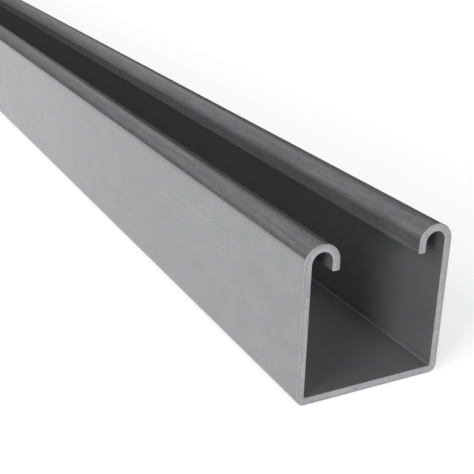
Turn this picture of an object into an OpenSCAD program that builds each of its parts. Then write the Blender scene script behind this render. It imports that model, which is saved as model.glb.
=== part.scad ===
// Plain strut channel
//
// A length of framing channel, cold rolled in one piece from a steel strip of even
// thickness. The strip makes a web, two side walls and two hooks that turn in and
// down beside a continuous slot. X runs along the stock, Y across it and Z up. The
// origin is on the underside of the web, in the middle of its length and width.

/* [Stock] */
// Width over the two side walls
channel_w = 41.3; // [36:0.1:48]
// Height from the underside of the web to the crowns of the hooks
channel_h = 41.3; // [21:0.1:82.6]
// Length that the stock is cut to
channel_len = 1000; // [300:50:3000]
// Thickness of the strip
strip_t = 2; // [1.5:0.1:2.7]

/* [Slot and hooks] */
// Clear width of the slot between the hooks
slot_w = 22.3; // [18:0.1:26]
// Depth of a hook from its crown to its slit edge
hook_depth = 7.2; // [6.5:0.1:12]

/* [Bends and edges] */
// Inside radius of the bends beside the web
web_bend_r = 0.2; // [0.2:0.1:2]
// Radius on the corners of the strip's slit edges
slit_edge_r = 0.3; // [0.1:0.1:0.6]

/* [Hidden] */

// Each hook fills the space between the slot and the face of its side wall, and its
// crown is a full half round, so its bend follows from those two
hook_w = (channel_w - slot_w) / 2;
hook_bend_r = hook_w / 2 - strip_t;

// A bend's outside radius is its inside radius and the strip's thickness
web_corner_r = web_bend_r + strip_t;
hook_crown_r = hook_bend_r + strip_t;

// Straight stretches of the strip between its bends
limb_run = hook_depth - hook_crown_r;
side_run = channel_h - hook_crown_r - web_corner_r;
web_run = channel_w - 2 * web_corner_r;

$fn = 96;

// Square-ended stretch of strip along +X, with its outside face on the X axis
module straight_strip(length) {
    square([length, strip_t]);
}

// Stretch of strip that starts along +X and bends by a quarter turn to the left, with
// its outside face on the outer arc
module quarter_bend(inside_r) {
    outside_r = inside_r + strip_t;
    translate([0, outside_r])
        intersection() {
            difference() {
                circle(outside_r);
                circle(inside_r);
            }
            translate([0, -outside_r])
                square(outside_r);
        }
}

// Bend made of as many quarter turns as its angle needs
module bent_strip(angle, inside_r) {
    outside_r = inside_r + strip_t;
    quarter_bend(inside_r);
    if (angle > 90)
        translate([outside_r, outside_r])
            rotate(90)
                bent_strip(angle - 90, inside_r);
}

// Where a step of the path ends, if it starts at the origin along +X
function step_end(angle, size) =
    angle == 0 ? [size, 0] : (size + strip_t) * [sin(angle), 1 - cos(angle)];

// Every step of a path, each laid where the one before it ends
module lay_strip(path, step = 0) {
    if (step < len(path)) {
        angle = path[step][0];
        size = path[step][1];
        if (angle == 0)
            straight_strip(size);
        else
            bent_strip(angle, size);
        translate(step_end(angle, size))
            rotate(angle)
                lay_strip(path, step + 1);
    }
}

// Corner that slitting and deburring take off the strip's edge: the part of a square
// that lies outside the round
module edge_corner() {
    difference() {
        square(slit_edge_r);
        translate([slit_edge_r, slit_edge_r])
            circle(slit_edge_r);
    }
}

// Section of the channel in the YZ plane, drawn with Y to the right and Z up. The path
// is the strip's way from one slit edge to the other. A step of it is [0, length] for
// a straight stretch, or [angle, inside radius] for a bend
module section() {
    path = [
        [0, limb_run],
        [180, hook_bend_r],
        [0, side_run],
        [90, web_bend_r],
        [0, web_run],
        [90, web_bend_r],
        [0, side_run],
        [180, hook_bend_r],
        [0, limb_run],
    ];
    slot_side = slot_w / 2;
    slit_edge_z = channel_h - hook_depth;
    difference() {
        translate([-slot_side, slit_edge_z])
            rotate(90)
                lay_strip(path);
        for (side = [0, 1])
            mirror([side, 0])
                translate([slot_side, slit_edge_z]) {
                    edge_corner();
                    translate([strip_t, 0])
                        mirror([1, 0])
                            edge_corner();
                }
    }
}

// The whole stock, rolled along X
module channel() {
    color([0.47, 0.47, 0.48])
        rotate([90, 0, 90])
            linear_extrude(height = channel_len, center = true)
                section();
}

channel();
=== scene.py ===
"""Looks of a plain strut channel: a length of galvanised steel, cold rolled to a C section with two hooks.

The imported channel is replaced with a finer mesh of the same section, so that its bends are round and its
cut ends have a broken edge. Everything is in metres, X along the stock, Y across it and Z up.
"""

import math
from collections import namedtuple

import bpy
import numpy as np
from mathutils import Matrix, Vector


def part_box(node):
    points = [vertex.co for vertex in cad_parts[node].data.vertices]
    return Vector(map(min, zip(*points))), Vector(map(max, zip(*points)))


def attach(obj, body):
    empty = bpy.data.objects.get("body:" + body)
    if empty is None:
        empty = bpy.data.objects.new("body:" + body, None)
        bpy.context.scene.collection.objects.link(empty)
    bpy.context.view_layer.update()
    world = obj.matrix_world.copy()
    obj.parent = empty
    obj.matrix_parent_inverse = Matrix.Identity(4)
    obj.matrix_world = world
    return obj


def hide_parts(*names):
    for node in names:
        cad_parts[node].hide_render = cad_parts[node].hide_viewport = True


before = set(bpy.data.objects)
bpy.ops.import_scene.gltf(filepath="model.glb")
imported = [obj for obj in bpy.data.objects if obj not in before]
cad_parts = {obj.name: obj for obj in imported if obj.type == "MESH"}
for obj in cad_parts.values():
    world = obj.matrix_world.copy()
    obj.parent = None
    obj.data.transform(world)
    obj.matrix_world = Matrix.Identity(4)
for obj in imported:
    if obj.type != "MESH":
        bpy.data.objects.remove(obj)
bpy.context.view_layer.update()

# Sizes of the stock. Its length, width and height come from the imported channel
MM = 0.001
LOW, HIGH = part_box("channel")
LENGTH = HIGH.x - LOW.x
WIDTH = HIGH.y - LOW.y
HEIGHT = HIGH.z
STRIP = 2.0 * MM
SLOT = 22.3 * MM
HOOK_DEPTH = 7.2 * MM
WEB_BEND = 0.2 * MM
SLIT_ROUND = 0.3 * MM
HOOK_BEND = (WIDTH - SLOT) / 4 - STRIP

# Straight stretches of the strip, and the bends between them, measured in the middle of its thickness
LIMB_RUN = HOOK_DEPTH - HOOK_BEND - STRIP - SLIT_ROUND
SIDE_RUN = HEIGHT - HOOK_BEND - WEB_BEND - 2 * STRIP
WEB_RUN = WIDTH - 2 * (WEB_BEND + STRIP)
CROWN_RUN = math.pi * (HOOK_BEND + STRIP / 2)
CORNER_RUN = math.pi / 2 * (WEB_BEND + STRIP / 2)
DEVELOPED = 2 * (LIMB_RUN + CROWN_RUN + SIDE_RUN + CORNER_RUN) + WEB_RUN

# How finely the section and the length are divided
CROWN_STEPS = 36
CORNER_STEPS = 10
FLAT_STEPS = 12
LIMB_STEPS = 3
SLIT_STEPS = 4
BREAK_STEPS = 3
STATIONS = 48

# The saw's burr is brushed off, which leaves a narrow and uneven round along both faces of a cut end. Its
# width is random, evened out over a few corners of the outline, and held within a limit
EDGE_BREAK = 0.14 * MM
BREAK_SPREAD = 0.22
BREAK_LIMIT = 1.5
BREAK_REACH = 2
BREAK_SEED = 41

# Materials of the mesh, by their place in its list
SKIN, SLIT, CUT = range(3)

# The map that the patterns are drawn in: metres along the stock, and metres along the strip from its first
# slit edge. The strip's inside face is drawn further on, so that its pattern isn't the outside's
PATTERN_MAP = "strip"
INSIDE_SHIFT = 0.3

# The map for baking, in shares of its height or width. The two faces of the strip fill it as long bands, and
# each cut end is a ribbon above them, with a gap round each
BAKE_MAP = "OFBake"
BAKE_BANDS = 0.93
BAKE_RIBBON = 0.014
BAKE_GAP = 0.004
RIBBON_INSET = 0.01

# A row is a line on the strip that runs along the stock: its two face points, the way out and its place
Row = namedtuple("Row", "outside inside out place")
# A corner is one point of the section's closed outline
Corner = namedtuple("Corner", "point normal place kind")
# A station is a ring of the mesh: its X, how far its points are drawn in, and its normals' lean along X
Station = namedtuple("Station", "x cuts lean")


def heading_of(angle):
    return np.array([math.cos(angle), math.sin(angle)])


def outward(angle):
    return np.array([math.sin(angle), -math.cos(angle)])


def lay_strip():
    """Rows of the strip, from its left slit edge over the hook, down the side, along the web and back up."""
    path = [
        (LIMB_RUN, LIMB_STEPS, None),
        (math.pi, CROWN_STEPS, HOOK_BEND),
        (SIDE_RUN, FLAT_STEPS, None),
        (math.pi / 2, CORNER_STEPS, WEB_BEND),
        (WEB_RUN, FLAT_STEPS, None),
        (math.pi / 2, CORNER_STEPS, WEB_BEND),
        (SIDE_RUN, FLAT_STEPS, None),
        (math.pi, CROWN_STEPS, HOOK_BEND),
        (LIMB_RUN, LIMB_STEPS, None),
    ]
    at = np.array([-SLOT / 2, HEIGHT - HOOK_DEPTH + SLIT_ROUND])
    angle, place = math.pi / 2, 0.0
    rows = []

    def add(point, turned, along):
        out = outward(turned)
        rows.append(Row(point, point - out * STRIP, out, along))

    add(at, angle, place)
    for amount, steps, inside in path:
        shares = [i / steps for i in range(1, steps + 1)]
        if inside is None:
            for share in shares:
                add(at + heading_of(angle) * amount * share, angle, place + amount * share)
            at, place = at + heading_of(angle) * amount, place + amount
        else:
            radius = inside + STRIP
            centre = at - outward(angle) * radius
            length = (inside + STRIP / 2) * amount
            for share in shares:
                turned = angle + amount * share
                add(centre + outward(turned) * radius, turned, place + length * share)
            angle, place = angle + amount, place + length
            at = centre + outward(angle) * radius
    return rows


def slit_edge(row):
    """The rounded slit edge below a row, as points and normals from the outside face to the inside face."""
    down = np.array([0.0, -1.0])
    found = []
    for face, side, first in ((row.outside, 1, 0.0), (row.inside, -1, 1.0)):
        middle = face - side * row.out * SLIT_ROUND
        for i in range(SLIT_STEPS + 1):
            turned = abs(first - i / SLIT_STEPS) * math.pi / 2
            normal = side * row.out * math.cos(turned) + down * math.sin(turned)
            found.append((middle + normal * SLIT_ROUND, normal))
    return found[1:-1]


def outline(rows):
    """The section's closed outline. Each corner's kind is that of the face from it to the next corner."""
    corners = [Corner(r.outside, r.out, r.place, SKIN) for r in rows[:-1]]
    corners.append(Corner(rows[-1].outside, rows[-1].out, rows[-1].place, SLIT))
    corners += [Corner(p, n, DEVELOPED, SLIT) for p, n in slit_edge(rows[-1])]
    corners += [Corner(r.inside, -r.out, r.place + INSIDE_SHIFT, SKIN) for r in rows[:0:-1]]
    corners.append(Corner(rows[0].inside, -rows[0].out, rows[0].place + INSIDE_SHIFT, SLIT))
    corners += [Corner(p, n, 0.0, SLIT) for p, n in slit_edge(rows[0])[::-1]]
    return corners


def broken_edge(rng, count, sign):
    """Stations from a cut face to the skin, on a round whose width varies softly along the outline."""
    raw = rng.normal(size=count)
    shifts = range(-BREAK_REACH, BREAK_REACH + 1)
    soft = sum(np.roll(raw, shift) for shift in shifts) / math.sqrt(len(shifts))
    width = EDGE_BREAK * (1 + BREAK_SPREAD * soft.clip(-BREAK_LIMIT, BREAK_LIMIT))
    leans = [math.pi / 2 * (1 - k / BREAK_STEPS) for k in range(BREAK_STEPS + 1)]
    return [
        Station(sign * (LENGTH / 2 - EDGE_BREAK * (1 - math.sin(a))), width * (1 - math.cos(a)), sign * a)
        for a in leans
    ]


def all_stations(count):
    """Stations from the stock's -X end to its +X end, for an outline of so many corners."""
    rng = np.random.default_rng(BREAK_SEED)
    first = broken_edge(rng, count, -1)
    last = broken_edge(rng, count, 1)[::-1]
    between = np.linspace(-LENGTH / 2, LENGTH / 2, STATIONS + 1)[1:-1]
    return first + [Station(x, np.zeros(count), 0.0) for x in between] + last


class SkinMesh:
    """Points and faces of a mesh, with every face corner's normal and its place in the two maps."""

    def __init__(self):
        self.points, self.point_normals = [], []
        self.faces, self.kinds = [], []
        self.normals, self.pattern, self.bake = [], [], []

    def add_ring(self, corners, station):
        """Adds the outline at a station and returns the number of its first point."""
        start = len(self.points)
        for corner, cut in zip(corners, station.cuts):
            self.points.append((station.x, *(corner.point - corner.normal * cut)))
            self.point_normals.append((math.sin(station.lean), *(corner.normal * math.cos(station.lean))))
        return start

    def add_face(self, points, kind):
        self.faces.append(tuple(points))
        self.kinds.append(kind)

    def add_face_corner(self, normal, pattern, bake):
        self.normals.append(normal)
        self.pattern.append(pattern)
        self.bake.append(bake)

    def build(self, name):
        mesh = bpy.data.meshes.new("channel_skin")
        mesh.from_pydata(self.points, [], self.faces)
        mesh.polygons.foreach_set("use_smooth", [True] * len(self.faces))
        mesh.polygons.foreach_set("material_index", self.kinds)
        for map_name, found in ((PATTERN_MAP, self.pattern), (BAKE_MAP, self.bake)):
            layer = mesh.uv_layers.new(name=map_name)
            layer.uv.foreach_set("vector", np.array(found, np.float32).ravel())
        mesh.validate(clean_customdata=False)
        mesh.normals_split_custom_set(self.normals)
        mesh.update()
        obj = bpy.data.objects.new(name, mesh)
        bpy.context.scene.collection.objects.link(obj)
        return obj


def bake_across(share):
    """Place across the bake's map, which keeps a gap on both sides."""
    return BAKE_GAP + (1 - 2 * BAKE_GAP) * share


def add_skin(mesh, corners, starts):
    """Faces between each ring and the next, all round the outline."""
    count = len(corners)
    for step, (here, there) in enumerate(zip(starts[:-1], starts[1:])):
        broken = step < BREAK_STEPS or step >= len(starts) - 1 - BREAK_STEPS
        for j, corner in enumerate(corners):
            k = (j + 1) % count
            quad = (here + j, here + k, there + k, there + j)
            mesh.add_face(quad, CUT if broken else corner.kind)
            place = corners[k].place if corner.kind == SKIN else corner.place
            edges = ((corner.place, j), (place, j + 1), (place, j + 1), (corner.place, j))
            for point, (along, round_step) in zip(quad, edges):
                x = mesh.points[point][0]
                bake = (bake_across(x / LENGTH + 0.5), BAKE_GAP + BAKE_BANDS * round_step / count)
                mesh.add_face_corner(mesh.point_normals[point], (x, along), bake)


def add_cut_face(mesh, start, sign, points, places, across):
    """One face of a cut end. Each of its corners has a place along the strip, and a share of the strip's
    thickness that runs from 0 on the inside face to 1 on the outside face."""
    order = range(len(points))[::sign]
    mesh.add_face([start + points[i] for i in order], CUT)
    ribbon = BAKE_BANDS + 3 * BAKE_GAP + (BAKE_RIBBON + 2 * BAKE_GAP) * (sign > 0)
    for i in order:
        along = RIBBON_INSET + (1 - 2 * RIBBON_INSET) * places[i] / DEVELOPED
        bake = (bake_across(along), ribbon + BAKE_RIBBON * across[i])
        mesh.add_face_corner((sign, 0, 0), (across[i] * STRIP, places[i]), bake)


def add_cut_end(mesh, rows, count, start, sign):
    """Faces that close one end: one between each row and the next, and one at each slit edge."""
    last = len(rows) - 1

    def inside_of(i):
        return 2 * last + 2 * SLIT_STEPS + 1 - i

    for i in range(last):
        here, there = rows[i].place, rows[i + 1].place
        quad = (i, i + 1, inside_of(i + 1), inside_of(i))
        add_cut_face(mesh, start, sign, quad, (here, there, there, here), (1, 1, 0, 0))
    right_edge = list(range(last, inside_of(last) + 1))
    left_edge = list(range(inside_of(0), count)) + [0]
    across = np.linspace(1, 0, len(right_edge))
    past = SLIT_ROUND * np.sin(np.linspace(0, math.pi, len(right_edge)))
    add_cut_face(mesh, start, sign, right_edge, DEVELOPED + past, across)
    add_cut_face(mesh, start, sign, left_edge, -past, 1 - across)


def build_channel():
    """The whole stock as one closed mesh."""
    rows = lay_strip()
    corners = outline(rows)
    mesh = SkinMesh()
    starts = [mesh.add_ring(corners, station) for station in all_stations(len(corners))]
    add_skin(mesh, corners, starts)
    for start, sign in ((starts[0], -1), (starts[-1], 1)):
        add_cut_end(mesh, rows, len(corners), start, sign)
    return mesh.build("rolled_channel")


# Blender's noise hardly leaves this range, which a pattern stretches to 0 to 1
NOISE_RANGE = (0.25, 0.75)


class Nodes:
    """Adds nodes to a node tree. A value given to a node is a number, a colour or another node's output."""

    def __init__(self, tree):
        self.tree = tree

    def add(self, kind, values=(), **settings):
        node = self.tree.nodes.new(kind)
        for name, setting in settings.items():
            setattr(node, name, setting)
        for socket, value in dict(values).items():
            self.feed(node.inputs[socket], value)
        return node

    def feed(self, socket, value):
        if isinstance(value, bpy.types.NodeSocket):
            self.tree.links.new(value, socket)
        else:
            socket.default_value = value

    def math(self, operation, *values):
        return self.add("ShaderNodeMath", enumerate(values), operation=operation).outputs[0]

    def times(self, *values):
        found = values[0]
        for value in values[1:]:
            found = self.math("MULTIPLY", found, value)
        return found

    def vary(self, pattern, amount):
        """A factor round 1, from a pattern whose middle is a half."""
        centred = self.math("MULTIPLY_ADD", pattern, 2.0, -1.0)
        return self.math("MULTIPLY_ADD", centred, amount, 1.0)

    def swing(self, value, pattern, reach):
        """A value moved up and down, by reach from end to end, with a pattern whose middle is a half."""
        return self.math("MULTIPLY_ADD", self.math("SUBTRACT", pattern, 0.5), reach, value)

    def remap(self, value, start, end, low=0.0, high=1.0):
        """Smooth step of value from low at start to high at end."""
        values = {"Value": value, "From Min": start, "From Max": end, "To Min": low, "To Max": high}
        return self.add("ShaderNodeMapRange", values, interpolation_type="SMOOTHSTEP").outputs[0]

    def band(self, value, start, end, soft):
        """1 between start and end and 0 outside, with edges as wide as soft."""
        rise = self.remap(value, start - soft / 2, start + soft / 2)
        fall = self.remap(value, end - soft / 2, end + soft / 2, 1.0, 0.0)
        return self.times(rise, fall)

    def mix(self, share, first, second):
        """The first value where share is 0 and the second where it is 1."""
        # The node's inputs 2 and 3 are its two numbers
        return self.add("ShaderNodeMix", {0: share, 2: first, 3: second}).outputs[0]

    def mix_colour(self, share, first, second):
        # The node's inputs 6 and 7 are its two colours, and its output 2 is the mixed one
        values = {0: share, 6: (*first, 1), 7: (*second, 1)}
        return self.add("ShaderNodeMix", values, data_type="RGBA").outputs[2]

    def point(self, x=0.0, y=0.0, z=0.0):
        return self.add("ShaderNodeCombineXYZ", enumerate((x, y, z))).outputs[0]

    def noise(self, at, detail, roughness):
        values = {"Vector": at, "Scale": 1.0, "Detail": detail, "Roughness": roughness}
        return self.add("ShaderNodeTexNoise", values).outputs[0]

    def bump(self, height, depth, normal=None):
        values = {"Height": height, "Distance": depth, "Strength": 1.0}
        if normal:
            values["Normal"] = normal
        return self.add("ShaderNodeBump", values).outputs[0]


# A pattern's patches are about this long along the stock and this wide across it
Pattern = namedtuple("Pattern", "length width seed detail roughness", defaults=(2.0, 0.5))

# How metallic all the steel is, and the tint of what it reflects at a grazing angle
METALLIC = 0.78
EDGE_SHINE = 0.95


class Strip(Nodes):
    """A metal material with its patterns drawn in the strip's own map."""

    def __init__(self, name):
        self.material = bpy.data.materials.new(name)
        self.material.use_nodes = True
        super().__init__(self.material.node_tree)
        self.shader = self.tree.nodes["Principled BSDF"]
        where = self.add("ShaderNodeUVMap", uv_map=PATTERN_MAP).outputs[0]
        parts = self.add("ShaderNodeSeparateXYZ", {0: where})
        self.along, self.place = parts.outputs[0:2]

    def grain(self, pattern):
        """Noise from 0 to 1 in patches of the pattern's size."""
        along = self.times(self.along, 1 / pattern.length)
        place = self.times(self.place, 1 / pattern.width)
        noise = self.noise(self.point(along, place, pattern.seed), pattern.detail, pattern.roughness)
        return self.remap(noise, *NOISE_RANGE)

    def finish(self, colour, tone, roughness, normal):
        shade = self.add("ShaderNodeVectorMath", {0: colour, "Scale": tone}, operation="SCALE").outputs[0]
        self.feed(self.shader.inputs["Base Color"], shade)
        self.feed(self.shader.inputs["Roughness"], roughness)
        self.feed(self.shader.inputs["Normal"], normal)
        self.feed(self.shader.inputs["Metallic"], METALLIC)
        self.feed(self.shader.inputs["Specular Tint"], (EDGE_SHINE, EDGE_SHINE, EDGE_SHINE, 1))
        return self.material


# Zinc skin: its colour, and how its spangle tints it between two crystals
SKIN_BASE = 0.278
SPANGLE_TINTS = ((-0.006, -0.003, 0.008), (0.004, 0.002, 0.004))

# Tones of the crowns and limbs against the flat faces, and how rough each zone is. The darker crowns are
# partly a duller rolled skin and partly painted shade; the lighter limbs are painted light
CROWN_SKIN_AND_SHADE = 0.84
LIMB_PAINTED_LIGHT = 1.28
WALL_ROUGH = 0.26
CROWN_ROUGH = 0.17
INSIDE_ROUGH = 0.36

# The crown's zone starts before its bend and stops short of the bend's end, with soft edges. The limb's
# painted light fades out between two places beyond the bend's start, which wander to and fro
CROWN_EARLY = 1.2 * MM
CROWN_SHORT = 1.25 * MM
CROWN_SOFT = 0.7 * MM
LIMB_LIGHT_FADE = (0.4 * MM, 3.4 * MM)
LIMB_LIGHT_WANDER = 2.4 * MM

# Patterns of the skin
SPANGLE = Pattern(7 * MM, 7 * MM, 1.7, 1.0)
PATCHES = Pattern(70 * MM, 24 * MM, 4.1)
# The next pattern lightens and darkens the skin in broad patches at random, and its seed is picked so that
# it also lays a painted sheen on the walls
SHEEN = Pattern(230 * MM, 160 * MM, 6.6)
FINE = Pattern(0.9 * MM, 0.7 * MM, 7.3, 3.0, 0.6)
MOTTLE = Pattern(14 * MM, 0.8 * MM, 1.2, 3.0, 0.6)
STREAKS = Pattern(160 * MM, 0.9 * MM, 2.9, 3.0, 0.6)
LONG_STREAKS = Pattern(600 * MM, 2.4 * MM, 5.2)
# The next pattern makes the edge of the limbs' painted light wander
LIMB_LIGHT_LINE = Pattern(28 * MM, 2.2 * MM, 6.6)

# How far the patterns lighten and darken the skin. A pair gives the flat faces first, and then the crowns,
# which the rolls streak far more
SPANGLE_TONE = 0.02
PATCH_TONE = 0.025
SHEEN_TONE = 0.09
STREAK_TONE = (0.015, 0.07)
SPECKLE_TONE = (0.015, 0.23)

# How far the patterns change the roughness, and how deep they lie in the surface, in the same order
PATCH_GLOSS = 0.05
FINE_GLOSS = (0.02, 0.08)
FINE_SHARE = (0.1, 1.0)
FINE_DEPTH = 0.003 * MM
STREAK_DEPTH = 0.003 * MM
SPANGLE_DEPTH = 0.008 * MM

# The inner folds beside the web: two zones, as how far they reach, how soft their edges are and their tone.
# The wider zone is painted shade in the folds, and the narrower one lightens a line along each fold. They
# are stronger and weaker along the stock, and their line wanders
FOLD_ZONES = ((2.6 * MM, 1.4 * MM, 0.84), (1.3 * MM, 0.5 * MM, 1.45))
FOLD_PATCHES = Pattern(7 * MM, 4 * MM, 3.3, 3.0)
FOLD_PATCH_RANGE = (0.2, 0.8)
FOLD_PATCH_STRENGTH = (0.35, 1.0)
FOLD_LINE = Pattern(3 * MM, 1.0, 9.9)
FOLD_WANDER = 0.5 * MM


def zinc_skin():
    """Rolled galvanised strip: soft spangle, streaks along the stock, crowns darkened partly as a duller
    skin and partly as painted shade, painted light on the limbs and painted shade beside the inner folds.
    """
    s = Strip("zinc_skin")
    inside = s.math("GREATER_THAN", s.place, INSIDE_SHIFT / 2)
    outside = s.math("SUBTRACT", 1.0, inside)
    # Both halves of the section are alike, so a place is taken from the nearer slit edge
    place = s.math("PINGPONG", s.math("MULTIPLY_ADD", inside, -INSIDE_SHIFT, s.place), DEVELOPED / 2)
    crown_end = LIMB_RUN + CROWN_RUN
    crown = s.times(outside, s.band(place, LIMB_RUN - CROWN_EARLY, crown_end - CROWN_SHORT, CROWN_SOFT))
    # Where the outside of each limb gets painted light, fading out past the bend's start
    limb_light_place = s.swing(place, s.grain(LIMB_LIGHT_LINE), LIMB_LIGHT_WANDER)
    limb_light_end = [LIMB_RUN + reach for reach in LIMB_LIGHT_FADE]
    limb_light = s.times(outside, s.remap(limb_light_place, *limb_light_end, 1.0, 0.0))

    spangle = s.grain(SPANGLE)
    patches = s.grain(PATCHES)
    streaks = s.grain(STREAKS)
    fine = s.grain(FINE)
    speckle = s.times(s.math("ADD", fine, s.grain(MOTTLE)), 0.5)
    streaked = s.mix(crown, *STREAK_TONE)
    # Crowns darkened partly with painted shade, limbs lightened with painted light, and broad patches that
    # are partly a painted sheen
    tone = s.times(
        s.mix(crown, 1.0, CROWN_SKIN_AND_SHADE),
        s.mix(limb_light, 1.0, LIMB_PAINTED_LIGHT),
        s.vary(streaks, streaked),
        s.vary(s.grain(LONG_STREAKS), streaked),
        s.vary(spangle, SPANGLE_TONE),
        s.vary(patches, PATCH_TONE),
        s.vary(s.grain(SHEEN), SHEEN_TONE),
        s.vary(speckle, s.mix(crown, *SPECKLE_TONE)),
    )

    # A lighter line along the two folds beside the web, between two bands of painted shade
    fold = crown_end + SIDE_RUN + CORNER_RUN / 2
    fold_place = s.swing(place, s.grain(FOLD_LINE), FOLD_WANDER)
    fold_strength = s.times(inside, s.remap(s.grain(FOLD_PATCHES), *FOLD_PATCH_RANGE, *FOLD_PATCH_STRENGTH))
    for reach, soft, fold_tone in FOLD_ZONES:
        zone = s.times(fold_strength, s.band(fold_place, fold - reach, fold + reach, soft))
        tone = s.times(tone, s.mix(zone, 1.0, fold_tone))

    colour = s.mix_colour(spangle, *([SKIN_BASE + part for part in tint] for tint in SPANGLE_TINTS))
    rough = s.mix(inside, s.mix(crown, WALL_ROUGH, CROWN_ROUGH), INSIDE_ROUGH)
    rough = s.swing(rough, fine, s.mix(crown, *FINE_GLOSS))
    rough = s.swing(rough, patches, PATCH_GLOSS)
    normal = s.bump(s.times(fine, s.mix(crown, *FINE_SHARE)), FINE_DEPTH)
    normal = s.bump(streaks, STREAK_DEPTH, normal)
    normal = s.bump(spangle, SPANGLE_DEPTH, normal)
    return s.finish(colour, tone, rough, normal)


# Slit edge: its colour, its patterns with how far they lighten and darken it, and its surface
SLIT_COLOUR = (0.27, 0.268, 0.268)
SLIT_STREAKS = Pattern(40 * MM, 0.25 * MM, 6.1, 3.0, 0.6)
SLIT_FINE = Pattern(0.8 * MM, 0.5 * MM, 1.9)
SLIT_STREAK_TONE = 0.12
SLIT_FINE_TONE = 0.08
SLIT_ROUGH = 0.28
SLIT_GLOSS = 0.12
SLIT_DEPTH = 0.004 * MM


def slit_edge_steel():
    """Slit edge of the strip: brushed along the stock, with grey zinc smeared over it."""
    s = Strip("slit_edge_steel")
    streaks = s.grain(SLIT_STREAKS)
    fine = s.grain(SLIT_FINE)
    tone = s.times(s.vary(streaks, SLIT_STREAK_TONE), s.vary(fine, SLIT_FINE_TONE))
    rough = s.math("MULTIPLY_ADD", fine, SLIT_GLOSS, SLIT_ROUGH)
    return s.finish(SLIT_COLOUR, tone, rough, s.bump(streaks, SLIT_DEPTH))


# Cut end: its two colours, its patterns with how far they lighten and darken it, and its surface. It turns
# dull between two distances from the strip's inside face, which its cloudy pattern shifts
CUT_COLOURS = ((0.36, 0.358, 0.38), (0.39, 0.39, 0.39))
CUT_MARKS = Pattern(1.6 * MM, 0.28 * MM, 3.7, 3.0, 0.6)
CUT_CLOUD = Pattern(1.1 * MM, 4.5 * MM, 9.4, 3.0, 0.6)
MARKS_TONE = 0.13
CLOUD_TONE = 0.11
CUT_ROUGH = 0.42
CUT_GLOSS = 0.12
CUT_DEPTH = 0.004 * MM
LIP_FADE = (1.5 * MM, 2.2 * MM)
LIP_SHIFT = 0.8 * MM
LIP_TONE = 0.86


def cut_end_steel():
    """Cut end: bare steel with fine marks across the strip's thickness, duller towards its outer face."""
    s = Strip("cut_end_steel")
    marks = s.grain(CUT_MARKS)
    cloud = s.grain(CUT_CLOUD)
    # On a cut end the map's first coordinate runs across the strip, from its inside face
    across = s.math("MULTIPLY_ADD", cloud, LIP_SHIFT, s.along)
    lip = s.remap(across, *LIP_FADE, 1.0, LIP_TONE)
    tone = s.times(s.vary(marks, MARKS_TONE), s.vary(cloud, CLOUD_TONE), lip)
    rough = s.math("MULTIPLY_ADD", cloud, CUT_GLOSS, CUT_ROUGH)
    return s.finish(s.mix_colour(cloud, *CUT_COLOURS), tone, rough, s.bump(marks, CUT_DEPTH))


channel = build_channel()
for make in (zinc_skin, slit_edge_steel, cut_end_steel):
    channel.data.materials.append(make())
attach(channel, "root")
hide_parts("channel")

# The studio: a white floor that runs to the horizon, just below the stock
FLOOR_HALF = 500.0
FLOOR_DROP = 0.2 * MM
FLOOR_PAINT = 0.50
FLOOR_GLOW = 0.59

# Soft lamps, as the way they shine from, their light and how wide they look
LAMPS = {
    "key": ((1.2, -2.1, 0.5), 2.9, math.radians(22)),
    "upper": ((0.3, -1.5, 1.2), 0.9, math.radians(28)),
    "fill": ((2.4, 0.1, 1.1), 0.9, math.radians(30)),
}

# The room's brightness on its two sides, as two heights of the way looked and the values there. A height is
# the Z part of that way. Towards the ceiling it falls by a share, and at its foot it is white like the floor
LIT_SIDE = (0.08, 0.42, 0.15, 0.46)
DIM_SIDE = (0.08, 0.45, 0.0, 0.30)
CEILING = (0.7, 1.0, 1.0, 0.9)
FOOT = (0.008, 0.014)

# Bearings turn from -X towards +Y. The dim side starts at one and fades into the lit side between two more
DIM_START = math.radians(20)
DIM_SOFT = math.radians(10)
DIM_FADE = (math.radians(90), math.radians(170))

# A low strip of light stands beside the dim side's start, and a panel along the stock hangs overhead
GLEAM_BEARINGS = (math.radians(6), math.radians(15))
GLEAM_SOFT = math.radians(4)
GLEAM_TOP = (0.45, 0.65)
GLEAM_LIGHT = 0.08
PANEL_HALF = (0.45, 0.12)
PANEL_SOFT = 0.08
PANEL_LIGHT = 0.8


def seen_directly(n):
    """1 for rays from the camera, a mirror or glass, and 0 for the rays that carry soft light."""
    path = n.add("ShaderNodeLightPath").outputs
    seen = n.math("MAXIMUM", path["Is Camera Ray"], path["Is Glossy Ray"])
    return n.math("MAXIMUM", seen, path["Is Transmission Ray"])


def white_floor():
    """A matt floor. Its glow makes it white to look at, also in a mirror, and gives no soft light."""
    mesh = bpy.data.meshes.new("floor")
    s, z = FLOOR_HALF, -FLOOR_DROP
    mesh.from_pydata([(-s, -s, z), (s, -s, z), (s, s, z), (-s, s, z)], [], [(0, 1, 2, 3)])
    floor = bpy.data.objects.new("floor", mesh)
    bpy.context.scene.collection.objects.link(floor)
    material = bpy.data.materials.new("floor_white")
    material.use_nodes = True
    material.node_tree.nodes.clear()
    n = Nodes(material.node_tree)
    paint = n.add("ShaderNodeBsdfDiffuse", {"Color": (FLOOR_PAINT, FLOOR_PAINT, FLOOR_PAINT, 1)})
    glow = n.add("ShaderNodeEmission", {"Strength": n.times(seen_directly(n), FLOOR_GLOW)})
    both = n.add("ShaderNodeAddShader", {0: paint.outputs[0], 1: glow.outputs[0]})
    n.add("ShaderNodeOutputMaterial", {"Surface": both.outputs[0]})
    mesh.materials.append(material)


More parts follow.
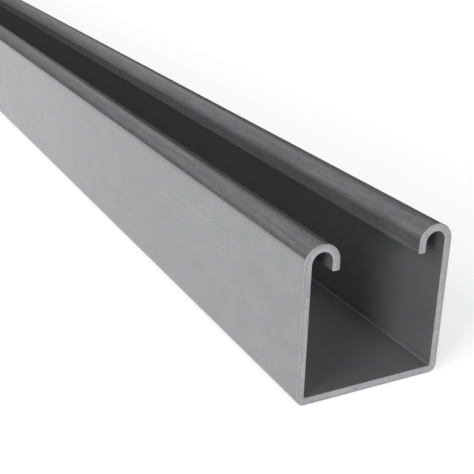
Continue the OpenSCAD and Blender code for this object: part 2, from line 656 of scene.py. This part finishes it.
def room():
    """World like a room round a white table: dim just above the horizon, brighter higher up and overhead,
    and dimmer beyond the stock's +Y side."""
    world = bpy.data.worlds.new("studio")
    bpy.context.scene.world = world
    world.use_nodes = True
    world.node_tree.nodes.clear()
    n = Nodes(world.node_tree)
    way = n.add("ShaderNodeTexCoord").outputs["Generated"]
    x, y, height = n.add("ShaderNodeSeparateXYZ", {0: way}).outputs
    bearing = n.math("ARCTAN2", y, n.times(x, -1.0))

    gleam = n.times(
        n.band(bearing, *GLEAM_BEARINGS, GLEAM_SOFT),
        n.remap(height, *GLEAM_TOP, GLEAM_LIGHT, 0.0),
    )
    lit = n.math("ADD", n.remap(height, *LIT_SIDE), gleam)
    dim = n.remap(height, *DIM_SIDE)
    dim_share = n.times(
        n.remap(bearing, DIM_START - DIM_SOFT / 2, DIM_START + DIM_SOFT / 2),
        n.remap(bearing, *DIM_FADE, 1.0, 0.0),
    )
    level = n.times(n.mix(dim_share, lit, dim), n.remap(height, *CEILING))

    above = n.math("GREATER_THAN", height, 0.0)
    panel = [n.band(part, -half, half, PANEL_SOFT) for part, half in zip((x, y), PANEL_HALF)]
    level = n.math("ADD", level, n.times(above, *panel, PANEL_LIGHT))
    level = n.mix(n.remap(height, *FOOT), 1.0, level)
    back = n.add("ShaderNodeBackground", {"Color": (1, 1, 1, 1), "Strength": level})
    n.add("ShaderNodeOutputWorld", {"Surface": back.outputs[0]})


def far_softbox(name, way, light, spread):
    """A soft lamp so far off that it lights the whole floor evenly. It shines from the way given."""
    data = bpy.data.lights.new(name, "SUN")
    data.energy = light
    data.angle = spread
    lamp = bpy.data.objects.new(name, data)
    lamp.rotation_mode = "QUATERNION"
    lamp.rotation_quaternion = Vector(way).to_track_quat("Z", "Y")
    bpy.context.scene.collection.objects.link(lamp)


white_floor()
room()
for lamp_name, lamp_facts in LAMPS.items():
    far_softbox(lamp_name, *lamp_facts)

# The photograph's camera, found from the stock's edges. Its turns are in degrees
CAMERA_LENS = 69.506
CAMERA_AT = (HIGH.x + 0.15742, -0.12029, 0.11971)
CAMERA_AZIMUTH = 62.351
CAMERA_ELEVATION = 22.362
CAMERA_ROLL = 1.697
CAMERA_NEAR = 0.01
CAMERA_FAR = 1000.0


def photo_camera():
    data = bpy.data.cameras.new("camera")
    data.lens = CAMERA_LENS
    data.clip_start = CAMERA_NEAR
    data.clip_end = CAMERA_FAR
    camera = bpy.data.objects.new("camera", data)
    bpy.context.scene.collection.objects.link(camera)
    turn = Matrix.Rotation(math.radians(CAMERA_AZIMUTH), 4, "Z")
    tilt = Matrix.Rotation(math.radians(90 - CAMERA_ELEVATION), 4, "X")
    roll = Matrix.Rotation(math.radians(CAMERA_ROLL), 4, "Z")
    camera.matrix_world = Matrix.Translation(CAMERA_AT) @ turn @ tilt @ roll
    bpy.context.scene.camera = camera


photo_camera()
bpy.context.scene.view_settings.view_transform = "Standard"
